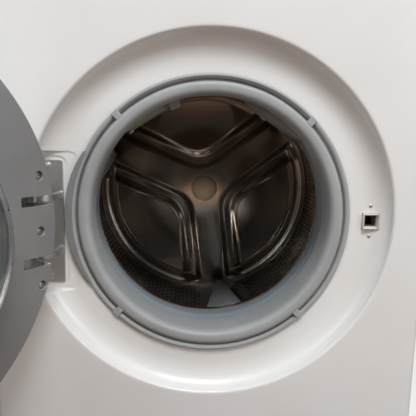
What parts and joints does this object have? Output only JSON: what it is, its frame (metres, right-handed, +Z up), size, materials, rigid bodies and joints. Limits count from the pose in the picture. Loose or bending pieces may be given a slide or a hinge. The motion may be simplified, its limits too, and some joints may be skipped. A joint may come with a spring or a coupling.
{
  "type": "front load washing machine",
  "caption": "Front loading washing machine with a hinged round door, rubber bellows, sprung tub, spinning drum, belt drive, drawer and controls.",
  "frame": {"origin": "on the floor plane under the middle of the cabinet's footprint, 3 mm under the base pan's boss", "axes": "+Z up, the front with the door faces -Y, +X to the right as seen from the front"},
  "size_m": [0.812, 0.9959, 0.848],
  "materials": {
    "white_enamel": "smooth glossy white enamel on sheet steel",
    "white_plastic": "white moulded plastic, satin gloss",
    "white_laminate": "white melamine laminate on chipboard, satin",
    "grey_plastic": "mid grey moulded plastic, fine satin grain",
    "dark_plastic": "smoked black plastic window",
    "tub_plastic": "grey glass-filled tub plastic",
    "grey_rubber": "smooth grey rubber with a soft sheen",
    "black_rubber": "matt black rubber",
    "clear_glass": "clear moulded glass",
    "drum_steel": "polished stainless steel sheet",
    "zinc_steel": "zinc-plated steel",
    "cast_aluminium": "bare cast aluminium",
    "cast_weight": "rough grey casting"
  },
  "bodies": {
    "cabinet": {"worktop": "white_laminate", "cabinet_wrap": "white_enamel", "front_panel": "white_enamel", "plinth": "white_plastic", "control_panel": "white_plastic", "door_lock": "white_plastic", "inlet_valve": "white_plastic", "drain_pump": "grey_plastic", "dispenser_housing": "grey_plastic", "damper_cylinder_left": "grey_plastic", "damper_cylinder_right": "grey_plastic", "display_window": "dark_plastic", "gasket": "grey_rubber", "foot_1": "black_rubber", "foot_2": "black_rubber", "foot_3": "black_rubber", "foot_4": "black_rubber", "mains_inlet": "black_rubber", "base_pan": "zinc_steel", "rear_cover": "zinc_steel", "top_crossbar": "zinc_steel", "hinge_plate": "zinc_steel", "lock_screw_1": "zinc_steel", "lock_screw_2": "zinc_steel", "gasket_clamp": "zinc_steel", "spring_left": "zinc_steel", "spring_right": "zinc_steel"},
    "door": {"door_outer_ring": "white_plastic", "door_inner_frame": "grey_plastic", "door_glass": "clear_glass", "door_window": "dark_plastic", "hinge_pin": "zinc_steel", "cover_screw_1": "zinc_steel", "cover_screw_2": "zinc_steel", "cover_screw_3": "zinc_steel"},
    "latch": {"latch_hook": "zinc_steel"},
    "drawer": {"detergent_drawer": "white_plastic"},
    "knob": {"programme_knob": "grey_plastic"},
    "start": {"start_button": "grey_plastic"},
    "option_1": {"option_button_1": "grey_plastic"},
    "option_2": {"option_button_2": "grey_plastic"},
    "flap": {"service_flap": "white_plastic"},
    "filter": {"filter_cap": "grey_plastic"},
    "tub": {"tub_front": "tub_plastic", "tub_rear": "tub_plastic", "front_counterweight": "cast_weight", "top_counterweight": "cast_weight", "motor": "zinc_steel", "drive_belt": "black_rubber", "drum_bearing": "zinc_steel", "damper_rod_left": "zinc_steel", "damper_rod_right": "zinc_steel"},
    "drum": {"drum_shell": "drum_steel", "drum_back": "drum_steel", "drum_spider": "cast_aluminium", "drum_pulley": "cast_aluminium", "lifter_1": "grey_plastic", "lifter_2": "grey_plastic", "lifter_3": "grey_plastic"},
    "rotor": {"motor_pulley": "zinc_steel"}
  },
  "joints": [
    {"name": "door_swing", "type": "hinge", "parent": "cabinet", "child": "door", "pos_m": [-0.232, -0.294, 0.405], "axis": [0, 0, -1], "range_deg": [-125, 25]},
    {"name": "latch_tilt", "type": "hinge", "parent": "door", "child": "latch", "pos_m": [-0.47913, -0.68007, 0.402], "axis": [0, 0, 1], "range_deg": [-3, 3], "stiffness_Nm_per_rad": 0.4},
    {"name": "drawer_slide", "type": "slide", "parent": "cabinet", "child": "drawer", "axis": [0, -1, 0], "range_m": [0, 0.18]},
    {"name": "knob_turn", "type": "hinge", "parent": "cabinet", "child": "knob", "pos_m": [-0.03, -0.275, 0.776], "axis": [0, -1, 0], "continuous": true},
    {"name": "start_press", "type": "slide", "parent": "cabinet", "child": "start", "axis": [0, 1, 0], "range_m": [0, 0.0015], "stiffness_N_per_m": 600},
    {"name": "option_1_press", "type": "slide", "parent": "cabinet", "child": "option_1", "axis": [0, 1, 0], "range_m": [0, 0.0015], "stiffness_N_per_m": 500},
    {"name": "option_2_press", "type": "slide", "parent": "cabinet", "child": "option_2", "axis": [0, 1, 0], "range_m": [0, 0.0015], "stiffness_N_per_m": 500},
    {"name": "flap_swing", "type": "hinge", "parent": "cabinet", "child": "flap", "pos_m": [0.19, -0.27375, 0.02025], "axis": [1, 0, 0], "range_deg": [0, 85]},
    {"name": "filter_turn", "type": "hinge", "parent": "cabinet", "child": "filter", "pos_m": [0.19, -0.263, 0.045], "axis": [0, -1, 0], "range_deg": [0, 90]},
    {"name": "tub_bounce", "type": "slide", "parent": "cabinet", "child": "tub", "axis": [0, 0, 1], "range_m": [-0.008, 0.008], "stiffness_N_per_m": 20000, "springref_m": 0.0182, "deforming": ["spring_left", "spring_right", "gasket"]},
    {"name": "drum_spin", "type": "hinge", "parent": "tub", "child": "drum", "pos_m": [0, 0.025, 0.405], "axis": [0, -1, 0], "continuous": true},
    {"name": "motor_spin", "type": "hinge", "parent": "tub", "child": "rotor", "pos_m": [-0.13, 0.225, 0.105], "axis": [0, -1, 0], "continuous": true}
  ],
  "couplings": [
    {"joint": "motor_spin", "follows": "drum_spin", "ratio": 14.286}
  ]
}
